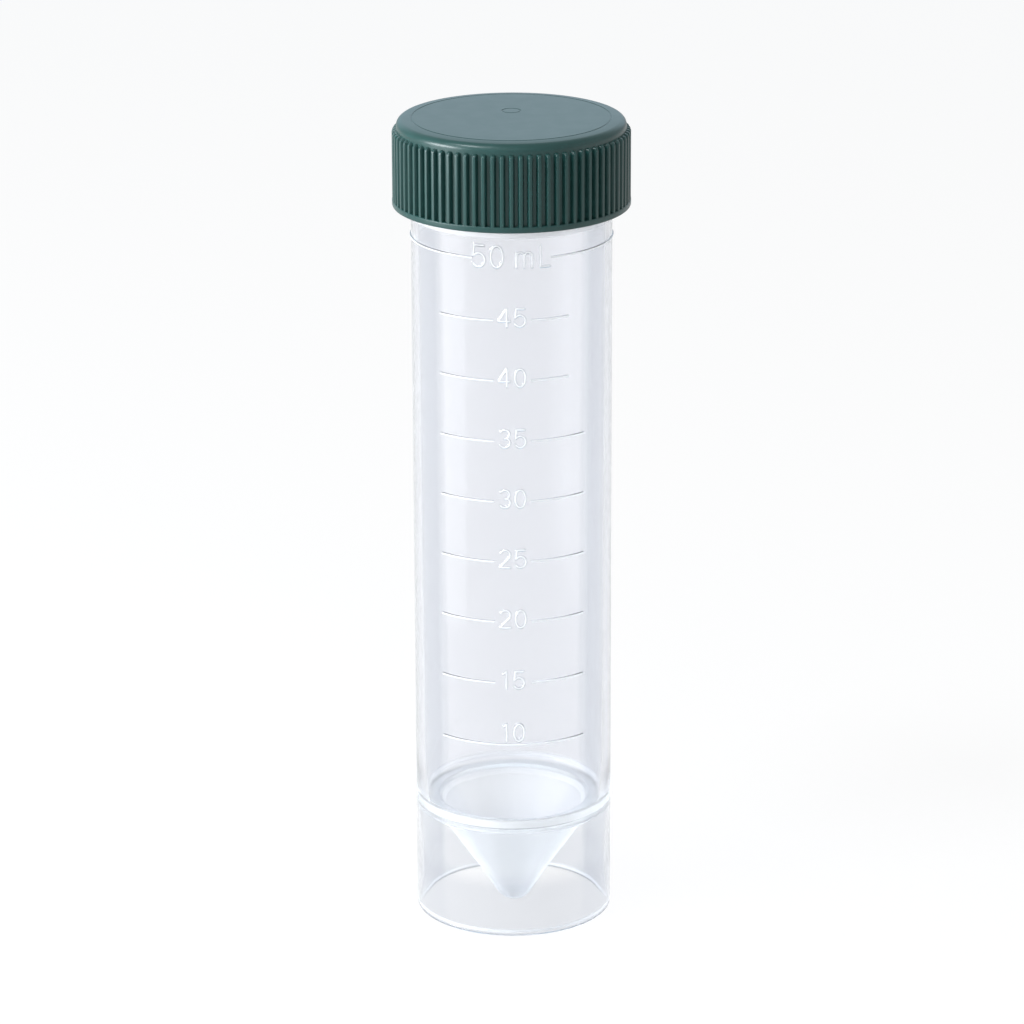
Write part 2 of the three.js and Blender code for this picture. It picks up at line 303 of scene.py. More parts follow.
@dataclass
class Ridge:
    """A raised ridge on or in a round wall: a volume line, or the turn of a thread.

    Wall and crest are radii, and sunk is how deep the ridge reaches into the wall. Angles are
    in degrees from the front, positive towards +X.
    """

    name: str
    wall: float
    crest: float
    root_width: float
    crest_width: float
    start: float
    span: float
    height: float
    lean: float = 0.0
    rise: float = 0.0
    fade: float = 0.0
    faded: float = 0.12
    sunk: float = 0.25 * MM
    facet: float = 1.5
    rounding_share: float = 0.35
    rounding_steps: int = 3

    def build(self) -> bpy.types.Object:
        """Winds the ridge's section about the axis.

        Returns:
            The ridge as a closed solid.
        """
        outward = 1.0 if self.crest > self.wall else -1.0
        root = self.wall - outward * self.sunk
        rounding = self.rounding_share * self.crest_width
        middle = self.height - self.lean
        section = rounded([
            (root, self.height - self.root_width / 2, 0.0),
            (self.wall, self.height - self.root_width / 2, 0.0),
            (self.crest, middle - self.crest_width / 2, rounding),
            (self.crest, middle + self.crest_width / 2, rounding),
            (self.wall, self.height + self.root_width / 2, 0.0),
            (root, self.height + self.root_width / 2, 0.0),
        ], self.rounding_steps)
        piece = outline_loop(self.name, section, closed=True)
        bpy.ops.object.mode_set(mode="OBJECT")
        winding = piece.modifiers.new("winding", "SCREW")
        winding.axis = "Z"
        winding.angle = math.radians(self.span)
        winding.screw_offset = self.rise
        winding.steps = winding.render_steps = max(3, round(self.span / self.facet))
        apply_modifiers(piece)
        if self.span < 360.0:
            self.close_ends(piece)
        if self.fade > 0.0:
            self.fade_ends(piece, root)
        clean_mesh(piece)
        piece.data.transform(Matrix.Rotation(math.radians(self.start - 90.0), 4, "Z"))
        return piece

    def close_ends(self, piece: bpy.types.Object) -> None:
        """Fills the two open ends of the wound section.

        Args:
            piece: The wound section.
        """
        activate(piece)
        bpy.ops.object.mode_set(mode="EDIT")
        bpy.ops.mesh.select_all(action="SELECT")
        bpy.ops.mesh.fill_holes(sides=0)
        bpy.ops.object.mode_set(mode="OBJECT")

    def fade_ends(self, piece: bpy.types.Object, root: float) -> None:
        """Lets the crest sink into the wall towards both ends.

        Args:
            piece: The wound section, which starts at +X.
            root: The radius of the section's sunk side.
        """
        for vertex in piece.data.vertices:
            angle = math.degrees(math.atan2(vertex.co.y, vertex.co.x)) % 360.0
            if angle > self.span + 0.5 * (360.0 - self.span):
                angle = 0.0
            left = min(angle, self.span - angle)
            fullness = max(0.0, min(1.0, left / self.fade))
            radius = vertex.co.xy.length
            faded = root + (radius - root) * (self.faded + (1 - self.faded) * fullness)
            vertex.co.x *= faded / radius
            vertex.co.y *= faded / radius


def bow(x: float, y: float, across: float, up: float, start: float, end: float) -> list[Point]:
    """Points of an arc, for the strokes of a numeral.

    Args:
        x: The centre's place across the numeral.
        y: The centre's height.
        across: Half the arc's width.
        up: Half the arc's height.
        start: Where it starts, in degrees from the right, positive upwards.
        end: Where it ends.

    Returns:
        The arc's points.
    """
    count = max(4, round(abs(end - start) / 15))
    angles = (math.radians(start + (end - start) * step / count) for step in range(count + 1))
    return [(x + across * math.cos(a), y + up * math.sin(a)) for a in angles]


# The strokes of each numeral or letter, in units of its height, about its middle.
STROKES: dict[str, list[list[Point]]] = {
    "0": [bow(0.0, 0.0, 0.28, 0.5, 0, 360)],
    "1": [[(-0.14, 0.34), (0.04, 0.5), (0.04, -0.5)]],
    "2": [bow(0.0, 0.23, 0.27, 0.27, 165, -38) + [(-0.28, -0.5), (0.29, -0.5)]],
    "3": [bow(0.0, 0.25, 0.25, 0.25, 150, -90), bow(0.0, -0.24, 0.29, 0.26, 90, -150)],
    "4": [[(0.13, -0.5), (0.13, 0.5), (-0.3, -0.2), (0.3, -0.2)]],
    "5": [[(0.25, 0.5), (-0.2, 0.5), (-0.25, 0.0)] + bow(0.0, -0.18, 0.29, 0.32, 112, -150)],
    "m": [[(-0.36, 0.2), (-0.36, -0.5)],
          bow(-0.18, 0.02, 0.18, 0.18, 180, 0) + [(0.0, -0.5)],
          bow(0.18, 0.02, 0.18, 0.18, 180, 0) + [(0.36, -0.5)]],
    "L": [[(-0.22, 0.5), (-0.22, -0.5), (0.24, -0.5)]],
}
WIDTHS = {"m": 1.08, "1": 0.62, " ": 0.28}
USUAL_WIDTH = 0.84


@dataclass
class Lettering:
    """Raised numerals or letters on a round wall, centred on the front.

    Reach is how far the relief spreads from the middle of a stroke, and spare is the room
    that is left round all of it.
    """

    words: str
    sign_height: float
    height: float
    relief: float = 0.2 * MM
    reach: float = 0.3 * MM
    spare: float = 0.35 * MM
    signs: list[list[tuple[Vector, Vector]]] = field(init=False)

    def __post_init__(self) -> None:
        """Lays the strokes out flat, as straight pieces for each sign."""
        widths = [WIDTHS.get(sign, USUAL_WIDTH) for sign in self.words]
        at = -sum(widths) / 2
        self.signs = []
        for sign, width in zip(self.words, widths):
            middle = at + width / 2
            at += width
            pieces = []
            for stroke in STROKES.get(sign, []):
                points = [Vector(((x + middle) * self.sign_height, y * self.sign_height, 0.0))
                          for x, y in stroke]
                pieces += zip(points, points[1:])
            if pieces:
                self.signs.append(pieces)

    @property
    def half_width(self) -> float:
        """Half the width of the field: the lettering, its relief and a facet to spare."""
        ends = (abs(point.x) for pieces in self.signs for piece in pieces for point in piece)
        return max(ends) + self.reach + self.spare

    @property
    def half_height(self) -> float:
        """Half the height of the field: the lettering, its relief and some room to spare."""
        return self.sign_height / 2 + self.reach + self.spare / 2

    def covers(self, across: float, up: float) -> bool:
        """Whether a place on the wall lies in the lettering's field."""
        return abs(across) <= self.half_width + MERGE and abs(up - self.height) <= self.half_height + MERGE

    def lift(self, across: float, up: float) -> float:
        """How far the wall stands out at a place on it.

        Args:
            across: The place's distance along the wall from the front, in metres.
            up: Its height, in metres.

        Returns:
            The relief there, in metres.
        """
        place = Vector((across, up - self.height, 0.0))
        nearest = self.reach
        for pieces in self.signs:
            if min(point.x for piece in pieces for point in piece) - self.reach > across:
                continue
            if max(point.x for piece in pieces for point in piece) + self.reach < across:
                continue
            for start, end in pieces:
                foot, share = intersect_point_line(place, start, end)
                foot = start if share < 0.0 else end if share > 1.0 else foot
                nearest = min(nearest, (place - foot).length)
        return self.relief * (0.5 + 0.5 * math.cos(math.pi * nearest / self.reach))


# ------------------------------------------------------------------ finishes


@dataclass(frozen=True)
class Fade:
    """Where a change starts along a measure, and where it is complete."""

    start: float
    end: float


@dataclass(frozen=True)
class Shader:
    """The node tree of a material or world, with short ways to add nodes and join them."""

    material: bpy.types.Material | bpy.types.World

    @classmethod
    def new(cls, name: str) -> "Shader":
        """Starts a material with an empty node tree.

        Args:
            name: The material's name.

        Returns:
            The material's node tree.
        """
        material = bpy.data.materials.new(name)
        material.use_nodes = True
        material.node_tree.nodes.clear()
        return cls(material)

    def node(self, kind: str, **inputs: object) -> bpy.types.Node:
        """Adds a node and sets its unlinked inputs.

        Args:
            kind: The node's type name.
            **inputs: Values of inputs, by name with underscores for spaces.

        Returns:
            The new node.
        """
        made = self.material.node_tree.nodes.new(kind)
        for name, value in inputs.items():
            made.inputs[name.replace("_", " ")].default_value = value
        return made

    def link(self, source: Socket, target: Socket) -> None:
        """Joins an output to an input."""
        self.material.node_tree.links.new(source, target)

    def feed(self, target: Socket, value: Value) -> None:
        """Gives an input either another node's output or a constant.

        Args:
            target: The input.
            value: The output or the constant.
        """
        if isinstance(value, Socket):
            self.link(value, target)
        else:
            target.default_value = value

    def math(self, operation: str, *values: Value) -> Socket:
        """Calculates with numbers.

        Args:
            operation: What is done, such as ADD or MULTIPLY.
            *values: The numbers or outputs it is done with.

        Returns:
            The result's output.
        """
        node = self.node("ShaderNodeMath")
        node.operation = operation
        for target, value in zip(node.inputs, values):
            self.feed(target, value)
        return node.outputs[0]

    def ramp(self, value: Value, fade: Fade, low: float = 0.0, high: float = 1.0) -> Socket:
        """Eases from one number to another while a value goes through a fade.

        Args:
            value: The value that is followed.
            fade: Where the result is still low, and where it is high.
            low: The result at the fade's start.
            high: The result at its end.

        Returns:
            The result's output.
        """
        node = self.node(
            "ShaderNodeMapRange", From_Min=fade.start, From_Max=fade.end, To_Min=low, To_Max=high)
        node.interpolation_type = "SMOOTHSTEP"
        self.feed(node.inputs["Value"], value)
        return node.outputs["Result"]

    def blend(self, share: Value, first: Value, second: Value) -> Socket:
        """Mixes two colours.

        Args:
            share: How much of the second colour there is.
            first: The first colour.
            second: The second colour.

        Returns:
            The mixed colour's output.
        """
        node = self.node("ShaderNodeMix")
        node.data_type = "RGBA"
        self.feed(node.inputs[0], share)
        colours = [socket for socket in node.inputs if socket.type == "RGBA"]
        self.feed(colours[0], first)
        self.feed(colours[1], second)
        return next(socket for socket in node.outputs if socket.type == "RGBA")

    def cover(self, share: Value, below: Socket, above: Socket) -> Socket:
        """Mixes two surfaces.

        Args:
            share: How much of the upper surface there is.
            below: The lower surface.
            above: The upper surface.

        Returns:
            The mixed surface's output.
        """
        node = self.node("ShaderNodeMixShader")
        self.feed(node.inputs["Fac"], share)
        self.link(below, node.inputs[1])
        self.link(above, node.inputs[2])
        return node.outputs[0]


def seen(shader: Shader) -> Socket:
    """Tells where the camera sees something, also in a mirror or through glass.

    Args:
        shader: The node tree that asks.

    Returns:
        The output of a value that is 1 there, and 0 for the light that falls on things.
    """
    path = shader.node("ShaderNodeLightPath")
    mirrored = shader.math("MAXIMUM", path.outputs["Is Camera Ray"], path.outputs["Is Glossy Ray"])
    return shader.math("MAXIMUM", mirrored, path.outputs["Is Transmission Ray"])


@dataclass(frozen=True)
class Place:
    """What the tube's finish knows of a place on it.

    Height is counted from the foot. Relief is how far the place stands out from the wall,
    negative inside it, and flare is how far it lies outside the cone's inner side. Facing
    goes from 0, seen square on, to 1, seen edge on.
    """

    height: Socket
    relief: Socket
    flare: Socket
    facing: Socket


@dataclass(frozen=True)
class Zone:
    """A zone of the tube, bounded by fades in height, relief, flare and facing."""

    height: tuple[Fade, ...] = ()
    relief: tuple[Fade, ...] = ()
    flare: tuple[Fade, ...] = ()
    facing: tuple[Fade, ...] = ()

    def share(self, shader: Shader, place: Place) -> Socket:
        """How fully a place lies in the zone.

        Args:
            shader: The node tree that asks.
            place: The place's measures.

        Returns:
            The output of a value from 0 to 1.
        """
        shares = [
            shader.ramp(getattr(place, measure), fade)
            for measure in ("height", "relief", "flare", "facing")
            for fade in getattr(self, measure)
        ]
        total = shares[0]
        for share in shares[1:]:
            total = shader.math("MULTIPLY", total, share)
        return total


@dataclass(frozen=True)
class Tint:
    """The colour that light takes on in a zone, or shade painted there, laid over the colours before it."""

    colour: Colour
    zone: Zone
    strength: float = 1.0

    def over(self, shader: Shader, place: Place, below: Value) -> Socket:
        """Lays the tint over another.

        Args:
            shader: The node tree.
            place: The place's measures.
            below: The tint below.

        Returns:
            The mixed colour's output.
        """
        share = shader.math("MULTIPLY", self.zone.share(shader, place), self.strength)
        return shader.blend(share, below, self.colour)


@dataclass(frozen=True)
class Haze:
    """How much light a zone scatters, and how much it scatters in a part of itself."""

    strength: float
    zone: Zone
    part_strength: float = 0.0
    part: Zone | None = None

    def amount(self, shader: Shader, place: Place) -> Socket:
        """The share of the light that is scattered at a place.

        Args:
            shader: The node tree.
            place: The place's measures.

        Returns:
            The share's output.
        """
        strength: Value = self.strength
        if self.part:
            strength = shader.math(
                "MULTIPLY_ADD", self.part.share(shader, place),
                self.part_strength - self.strength, self.strength)
        return shader.math("MULTIPLY", self.zone.share(shader, place), strength)


CLEAR: Colour = (1.0, 1.0, 1.0, 1.0)
WALL_SIDE = Fade(-2.5 * MM, -1.5 * MM)      # relief that tells the wall from the cone
CONE_SIDE = Fade(-1.5 * MM, -2.5 * MM)

TINTS_AND_PAINTED_SHADE: tuple[Tint, ...] = (
    # the cone, and the skirt's upper part
    Tint(CLEAR, Zone(relief=(CONE_SIDE,))),
    Tint(CLEAR, Zone(height=(Fade(16.95 * MM, 15.45 * MM),)), 0.8),
    # the skirt's lower part, darker than above it: painted shade of the floor inside the skirt
    Tint((0.78, 0.795, 0.83, 1.0), Zone(height=(Fade(11.0 * MM, 6.5 * MM),), relief=(WALL_SIDE,))),
    # all that is seen edge on, apart from the cone's tip: deeper, partly from the longer way
    # through the wall and partly a painted reflection of darker surroundings
    Tint((0.715, 0.735, 0.78, 1.0), Zone(facing=(Fade(0.33, 0.4),))),
    Tint(CLEAR, Zone(height=(Fade(3.0 * MM, 1.5 * MM),), relief=(CONE_SIDE,))),
    # the flanks of the raised marks, greyer: painted shade
    Tint((0.68, 0.7, 0.74, 1.0), Zone(relief=(
        Fade(0.01 * MM, 0.05 * MM), Fade(0.17 * MM, 0.1 * MM)))),
    # the face that the tube stands on, darker: painted shade where it meets the floor
    Tint((0.58, 0.6, 0.64, 1.0), Zone(
        height=(Fade(0.4 * MM, 0.3 * MM),), relief=(Fade(-0.7 * MM, -0.5 * MM),))),
)

HAZES: tuple[Haze, ...] = (
    # the shelf's thick edge, a white band round the wall
    Haze(0.62, Zone(
        height=(Fade(16.85 * MM, 17.05 * MM), Fade(18.6 * MM, 17.8 * MM)),
        relief=(Fade(-0.4 * MM, -0.2 * MM),)), 0.25, Zone(facing=(Fade(0.3, 0.8),))),
    # the shelf's top
    Haze(0.27, Zone(
        height=(Fade(17.25 * MM, 17.35 * MM), Fade(18.4 * MM, 18.0 * MM)),
        relief=(Fade(-3.5 * MM, -3.2 * MM), Fade(-0.5 * MM, -0.7 * MM)))),
    # the shelf's underside
    Haze(0.5, Zone(
        height=(Fade(15.85 * MM, 16.05 * MM), Fade(16.95 * MM, 16.75 * MM)),
        relief=(Fade(-0.4 * MM, -0.6 * MM),))),
    # the inner edge of the foot
    Haze(0.8, Zone(
        height=(Fade(0.9 * MM, 0.7 * MM), Fade(0.25 * MM, 0.35 * MM)),
        relief=(Fade(-0.45 * MM, -0.6 * MM), WALL_SIDE))),
    # the cone, most of all its outer side seen edge on
    Haze(0.33, Zone(
        height=(Fade(16.95 * MM, 16.45 * MM),), relief=(Fade(-3.0 * MM, -3.5 * MM),)),
        0.75, Zone(flare=(Fade(0.4 * MM, 0.9 * MM),), facing=(Fade(0.52, 0.85),))),
    # the crests of the raised marks
    Haze(0.8, Zone(relief=(Fade(0.1 * MM, 0.17 * MM),))),
    # the neck
    Haze(0.5, Zone(height=(Fade(105.2 * MM, 105.7 * MM),))),
)


@dataclass(frozen=True)
class ClearPolypropylene:
    """Clear, slightly milky moulded plastic that lets the lamps through.

    Towards its outline the wall is seen edge on and its tint is deeper: partly the longer way
    through the wall, partly a painted reflection of darker surroundings. The thick shelf, the
    foot's edge and the crests of the raised marks scatter more light, and the marks' flanks are
    greyer, a painted shade. The skirt's lower part is darker, a painted shade of the floor inside
    it, and so is the face the tube stands on, a painted shade where it meets the floor. Wall is
    the outer radius, shelf the shelf's height, mouth the cone's
    inner radius there, and slope how fast that radius grows with height.
    """

    wall: float
    shelf: float
    mouth: float
    slope: float
    name: str = "clear_polypropylene"
    tint: Colour = (0.909, 0.915, 0.942, 1.0)
    tints: tuple[Tint, ...] = TINTS_AND_PAINTED_SHADE
    haze: float = 0.058
    hazes: tuple[Haze, ...] = HAZES
    milk: Colour = (0.96, 0.97, 0.98, 1.0)
    shadow: Colour = (0.963, 0.97, 0.98, 1.0)
    roughness: float = 0.06
    cone_roughness: float = 0.1
    cone_side: Fade = Fade(-2.8 * MM, -3.4 * MM)
    ior: float = 1.49

    def build(self) -> bpy.types.Material:
        """Makes the material.

        Returns:
            The finished material.
        """
        shader = Shader.new(self.name)
        place = self.place(shader)
        glass = shader.node("ShaderNodeBsdfPrincipled", IOR=self.ior, Transmission_Weight=1.0)
        colour: Value = self.tint
        for tint in self.tints:
            colour = tint.over(shader, place, colour)
        shader.link(colour, glass.inputs["Base Color"])
        roughness = shader.ramp(place.relief, self.cone_side, self.roughness, self.cone_roughness)
        shader.link(roughness, glass.inputs["Roughness"])
        hazy: Value = self.haze
        for haze in self.hazes:
            hazy = shader.math("MAXIMUM", hazy, haze.amount(shader, place))
        surface = shader.cover(hazy, glass.outputs[0], self.milkiness(shader))
        path = shader.node("ShaderNodeLightPath")
        passes = shader.math("MAXIMUM", path.outputs["Is Shadow Ray"], path.outputs["Is Diffuse Ray"])
        through = shader.node("ShaderNodeBsdfTransparent", Color=self.shadow)
        output = shader.node("ShaderNodeOutputMaterial")
        shader.link(shader.cover(passes, surface, through.outputs[0]), output.inputs["Surface"])
        return shader.material

    def place(self, shader: Shader) -> Place:
        """Works out the measures that the zones are bounded by.

        Args:
            shader: The node tree.

        Returns:
            The measures' outputs.
        """
        parts = shader.node("ShaderNodeSeparateXYZ")
        shader.link(shader.node("ShaderNodeTexCoord").outputs["Object"], parts.inputs[0])
        across, back, height = parts.outputs
        reach = shader.math("SQRT", shader.math(
            "MULTIPLY_ADD", across, across, shader.math("MULTIPLY", back, back)))
        inner_side = shader.math("MULTIPLY_ADD", height, self.slope, self.mouth - self.shelf * self.slope)
        return Place(
            height=height,
            relief=shader.math("SUBTRACT", reach, self.wall),
            flare=shader.math("SUBTRACT", reach, inner_side),
            facing=shader.node("ShaderNodeLayerWeight", Blend=0.5).outputs["Facing"])

    def milkiness(self, shader: Shader) -> Socket:
        """Makes the surface that scatters light to both of its sides.

        Args:
            shader: The node tree.

        Returns:
            The surface's output.
        """
        skin = shader.node("ShaderNodeBsdfDiffuse", Color=self.milk)
        body = shader.node("ShaderNodeBsdfTranslucent", Color=self.milk)
        return shader.cover(0.5, skin.outputs[0], body.outputs[0])


@dataclass(frozen=True)
class SatinPlastic:
    """Opaque moulded plastic with a satin skin, a little uneven in colour and gloss."""

    name: str
    colour: Colour
    light_colour: Colour
    roughness: float = 0.38
    uneven: float = 0.01
    specular: float = 0.5
    ior: float = 1.49
    grain: float = 0.02 * MM
    grain_scale: float = 2600.0
    grain_strength: float = 0.12
    cloud_scale: float = 420.0
    cloud_edge: Fade = Fade(0.3, 0.7)
    detail: float = 3.0

    def build(self) -> bpy.types.Material:
        """Makes the material.

        Returns:
            The finished material.
        """
        shader = Shader.new(self.name)
        place = shader.node("ShaderNodeTexCoord")
        skin = shader.node("ShaderNodeTexNoise", Scale=self.grain_scale, Detail=self.detail)
        clouds = shader.node("ShaderNodeTexNoise", Scale=self.cloud_scale, Detail=self.detail)
        bump = shader.node("ShaderNodeBump", Strength=self.grain_strength, Distance=self.grain)
        surface = shader.node(
            "ShaderNodeBsdfPrincipled", IOR=self.ior, Specular_IOR_Level=self.specular)
        output = shader.node("ShaderNodeOutputMaterial")
        shader.link(place.outputs["Object"], skin.inputs["Vector"])
        shader.link(place.outputs["Object"], clouds.inputs["Vector"])
        cloudy = shader.ramp(clouds.outputs["Fac"], self.cloud_edge)
        shader.link(
            shader.blend(cloudy, self.colour, self.light_colour), surface.inputs["Base Color"])
        shader.link(
            shader.math("MULTIPLY_ADD", cloudy, 2 * self.uneven, self.roughness - self.uneven),
            surface.inputs["Roughness"])
        shader.link(skin.outputs["Fac"], bump.inputs["Height"])
        shader.link(bump.outputs["Normal"], surface.inputs["Normal"])
        shader.link(surface.outputs["BSDF"], output.inputs["Surface"])
        return shader.material


def dress(piece: bpy.types.Object, material: bpy.types.Material) -> None:
    """Gives a piece one material all over."""
    piece.data.materials.clear()
    piece.data.materials.append(material)


# ------------------------------------------------------------------ sub-assemblies


@dataclass
class Tube:
    """The moulded tube: neck, wall, conical bottom and skirt, with its raised marks."""

    span: Span
    radius: float = 14.35 * MM
    rim_wall: float = 0.95 * MM
    shelf_wall: float = 1.35 * MM
    rim_rounding: float = 0.3 * MM
    shelf_height: float = 17.4 * MM
    shelf_width: float = 1.9 * MM
    shelf_thickness: float = 1.2 * MM
    cone_wall: float = 1.1 * MM
    tip_radius: float = 3.0 * MM
    tip_lift: float = 0.28 * MM
    bore_fillet: float = 0.8 * MM
    mouth_rounding: float = 0.5 * MM
    cone_fillet: float = 0.8 * MM
    skirt_fillet: float = 0.5 * MM
    skirt_wall: float = 0.9 * MM
    foot_outside: float = 0.25 * MM
    foot_inside: float = 0.15 * MM
    facets: int = 288
    arc_steps: int = 6
    tip_steps: int = 12
    row: float = 6.0 * MM
    cell: float = 0.09 * MM
    thread_relief: float = 0.75 * MM
    thread_bottom: float = 108.5 * MM
    thread_top: float = 114.5 * MM
    smooth_to: float = 50.0

    def build(self) -> bpy.types.Object:
        """Models the tube and puts its thread and marks on it.

        Returns:
            The finished tube.
        """
        marks = Graduations(self.radius)
        piece = turned("tube_moulding", divided(self.outline(marks.rows()), self.row), self.facets)
        self.emboss(piece, marks.lettering())
        fuse(piece, Thread(
            wall=self.radius, crest=self.radius + self.thread_relief,
            bottom=self.thread_bottom, top=self.thread_top).ridges())
        fuse(piece, [joined("lines", marks.lines())])
        smooth(piece, self.smooth_to)
        dress(piece, ClearPolypropylene(
            self.radius, self.shelf_height, self.mouth, math.tan(self.lean)).build())
        return piece

    def emboss(self, piece: bpy.types.Object, lettering: Sequence[Lettering]) -> None:
        """Raises lettering out of the outer wall.

        Args:
            piece: The turned tube.
            lettering: What stands out of its wall.
        """
        for upright, cell in ((True, self.cell), (False, math.tau * self.radius / self.facets)):
            self.refine(piece, lettering, upright, cell)
        for vertex in piece.data.vertices:
            found = self.field_of(vertex.co, lettering)
            if found:
                across = math.atan2(vertex.co.x, -vertex.co.y) * self.radius
                out = 1.0 + found.lift(across, vertex.co.z) / self.radius
                vertex.co.x *= out
                vertex.co.y *= out

    def field_of(self, place: Vector, lettering: Sequence[Lettering]) -> Lettering | None:
        """Finds the lettering in whose field a place lies.

        Args:
            place: A place on the tube.
            lettering: What stands out of the tube's outer wall.

        Returns:
            The lettering, or None where the wall stays plain.
        """
        if place.y > 0.0 or abs(place.xy.length - self.radius) > ON_WALL:
            return None
        across = math.atan2(place.x, -place.y) * self.radius
        return next((words for words in lettering if words.covers(across, place.z)), None)

    def refine(self, piece: bpy.types.Object, lettering: Sequence[Lettering], upright: bool,
               length: float) -> None:
        """Divides the wall's upright or level edges in the fields of the lettering.

        Args:
            piece: The turned tube.
            lettering: What will stand out of its wall.
            upright: Whether the upright edges are divided, and not the level ones.
            length: How long the level edges are, in metres.
        """
        activate(piece)
        bpy.ops.object.mode_set(mode="EDIT")
        bpy.ops.mesh.select_mode(type="EDGE")
        bpy.ops.mesh.select_all(action="DESELECT")
        bpy.ops.object.mode_set(mode="OBJECT")
        vertices = piece.data.vertices
        fields = [self.field_of(vertex.co, lettering) for vertex in vertices]
        longest = 0.0
        for edge in piece.data.edges:
            start, end = edge.vertices
            if fields[start] and fields[start] is fields[end]:
                rise = abs(vertices[start].co.z - vertices[end].co.z)
                edge.select = (rise > MERGE) == upright
                if edge.select:
                    longest = max(longest, rise if upright else length)
        bpy.ops.object.mode_set(mode="EDIT")
        bpy.ops.mesh.subdivide(number_cuts=max(1, round(longest / self.cell) - 1))
        bpy.ops.object.mode_set(mode="OBJECT")

    @property
    def mouth(self) -> float:
        """The radius of the cone's mouth in the shelf."""
        return self.radius - self.shelf_wall - self.shelf_width

    @property
    def lean(self) -> float:
        """How far the cone's side leans from upright.

        Returns:
            The angle in radians.
        """
        rise = self.shelf_height - self.tip_lift - self.tip_radius
        inner_tip = self.tip_radius - self.cone_wall
        return math.atan2(self.mouth, rise) - math.asin(inner_tip / math.hypot(self.mouth, rise))

    def outline(self, rows: Sequence[float]) -> list[Point]:
        """The tube's section, from the inside of the tip round to its outside.

        Args:
            rows: Heights where the outer wall gets an extra row, from the top down.

        Returns:
            The section's points.
        """
        tip_centre = self.tip_lift + self.tip_radius
        inner_tip = self.tip_radius - self.cone_wall
        shelf_bore = self.radius - self.shelf_wall
        mouth, lean = self.mouth, self.lean
        underside = self.shelf_height - self.shelf_thickness
        outer_mouth = mouth + self.cone_wall / math.cos(lean) - self.shelf_thickness * math.tan(lean)
        inner = self.tip_arc(tip_centre, inner_tip, lean)
        outer = self.tip_arc(tip_centre, self.tip_radius, lean)
        skirt_bore = self.radius - self.skirt_wall
        middle = rounded([
            (*inner[-1], 0.0),
            (mouth, self.shelf_height, self.mouth_rounding),
            (shelf_bore, self.shelf_height, self.bore_fillet),
            (self.radius - self.rim_wall, self.span.top, self.rim_rounding),
            (self.radius, self.span.top, self.rim_rounding),
            *((self.radius, row, 0.0) for row in rows),
            (self.radius, 0.0, self.foot_outside),
            (skirt_bore, 0.0, self.foot_inside),
            (skirt_bore, underside, self.skirt_fillet),
            (outer_mouth, underside, self.cone_fillet),
            (*outer[-1], 0.0),
        ], self.arc_steps)
        return inner[:-1] + middle + outer[-2::-1]

    def tip_arc(self, centre: float, radius: float, lean: float) -> list[Point]:
        """Points of a round tip, from the axis up to where the cone starts.

        Args:
            centre: The height of the tip's centre.
            radius: The tip's radius.
            lean: How far the cone leans from upright, in radians.

        Returns:
            The arc's points.
        """
        sweep = math.pi / 2 - lean
        angles = (sweep * step / self.tip_steps for step in range(self.tip_steps + 1))
        return [(radius * math.sin(a), centre - radius * math.cos(a)) for a in angles]


@dataclass
class Thread:
    """The ridges of a two-start right-hand thread on or in a round wall."""

    wall: float
    crest: float
    bottom: float
    top: float
    start: float = 0.0
    starts: int = 2
    lead: float = 7.2 * MM
    root_width: float = 2.0 * MM
    crest_width: float = 1.0 * MM
    fade: float = 20.0

    def ridges(self) -> list[bpy.types.Object]:
        """Winds one ridge for each start.

        Returns:
            The ridges as closed solids.
        """
        rise = self.top - self.bottom
        return [
            Ridge(name=f"thread_{number}", wall=self.wall, crest=self.crest,
                  root_width=self.root_width, crest_width=self.crest_width,
                  start=self.start + number * 360.0 / self.starts, span=360.0 * rise / self.lead,
                  height=self.bottom, rise=rise, fade=self.fade).build()
            for number in range(self.starts)
        ]


